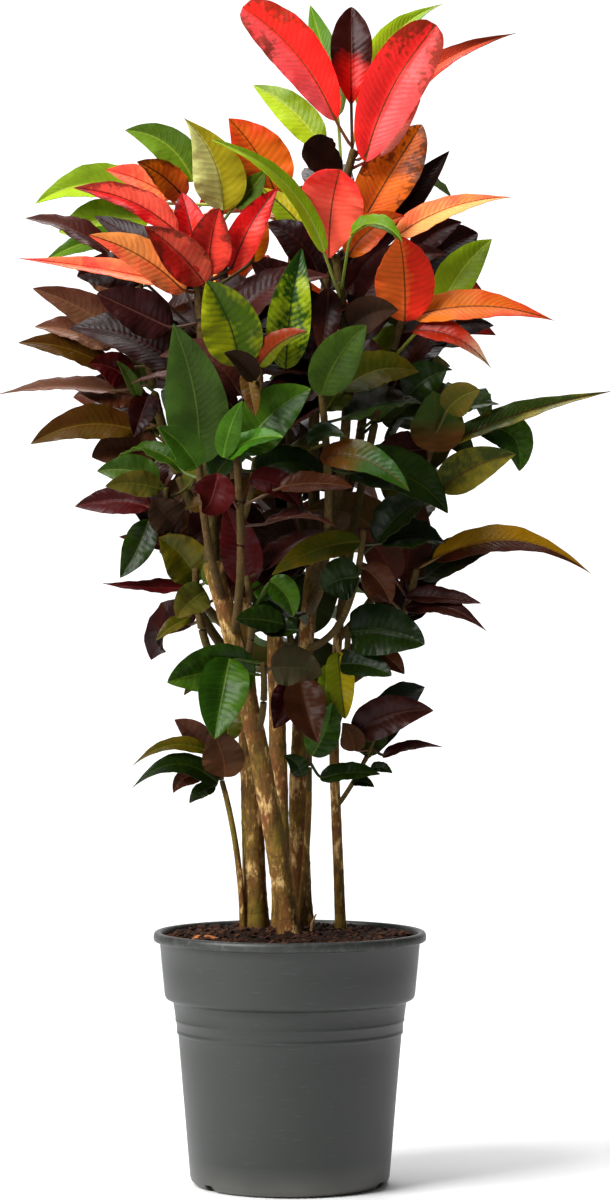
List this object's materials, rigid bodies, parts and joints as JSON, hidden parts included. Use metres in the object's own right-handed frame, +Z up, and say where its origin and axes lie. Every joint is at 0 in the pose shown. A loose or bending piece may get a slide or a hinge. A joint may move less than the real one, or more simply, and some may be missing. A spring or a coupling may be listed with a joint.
{
  "type": "potted croton",
  "caption": "Tall potted croton: woody canes in peat carry tiers of red, orange, lime, green and maroon leaves above a round rimmed nursery pot.",
  "frame": {"origin": "centre of the pot's underside, on the pot's axis", "axes": "+Z up along the pot's axis, -Y towards the plant's front as pictured, +X to its right as seen"},
  "size_m": [0.6082, 0.497, 1.1912],
  "materials": {
    "pot": "satin",
    "peat": "matte",
    "bark": "matte",
    "leaf_red": "satin",
    "leaf_orange": "satin",
    "leaf_lime": "satin",
    "leaf_green": "satin",
    "leaf_maroon": "satin",
    "leaf_plum": "satin",
    "leaf_bronze": "satin"
  },
  "bodies": {
    "root": {"back_crown_left_maroon": "leaf_maroon", "back_crown_left_orange": "leaf_orange", "back_crown_right_green": "leaf_green", "back_crown_right_red": "leaf_red", "back_left_plum": "leaf_plum", "back_low_green": "leaf_green", "back_middle_maroon": "leaf_maroon", "back_right_bronze": "leaf_bronze", "cane_back_left": "bark", "cane_back_right": "bark", "cane_front": "bark", "cane_inner": "bark", "cane_left": "bark", "cane_middle": "bark", "cane_right": "bark", "centre_front_green": "leaf_green", "centre_front_maroon": "leaf_maroon", "centre_low_green": "leaf_green", "centre_low_maroon": "leaf_maroon", "centre_middle_green": "leaf_green", "centre_right_green": "leaf_green", "crest_back_left_lime": "leaf_lime", "crest_back_left_orange": "leaf_orange", "crest_back_orange": "leaf_orange", "crest_centre_green": "leaf_green", "crest_centre_maroon": "leaf_maroon", "crest_centre_orange": "leaf_orange", "crest_centre_red": "leaf_red", "crest_left_maroon": "leaf_maroon", "crest_left_red": "leaf_red", "crest_right_lime": "leaf_lime", "crest_right_maroon": "leaf_maroon", "crest_right_orange": "leaf_orange", "left_bronze": "leaf_bronze", "left_front_green": "leaf_green", "left_low_bronze": "leaf_bronze", "left_low_maroon": "leaf_maroon", "left_middle_bronze": "leaf_bronze", "left_middle_maroon": "leaf_maroon", "left_plum": "leaf_plum", "low_centre_green": "leaf_green", "low_centre_maroon": "leaf_maroon", "low_front_green": "leaf_green", "low_left_bronze": "leaf_bronze", "low_left_green": "leaf_green", "low_right_green": "leaf_green", "low_right_plum": "leaf_plum", "pot": "pot", "right_bronze": "leaf_bronze", "right_green": "leaf_green", "right_low_bronze": "leaf_bronze", "right_low_maroon": "leaf_maroon", "right_lower_bronze": "leaf_bronze", "right_lower_green": "leaf_green", "soil": "peat", "top_lime": "leaf_lime", "top_maroon": "leaf_maroon", "top_red": "leaf_red", "variegated_lime": "leaf_lime", "variegated_maroon": "leaf_maroon"}
  },
  "joints": []
}
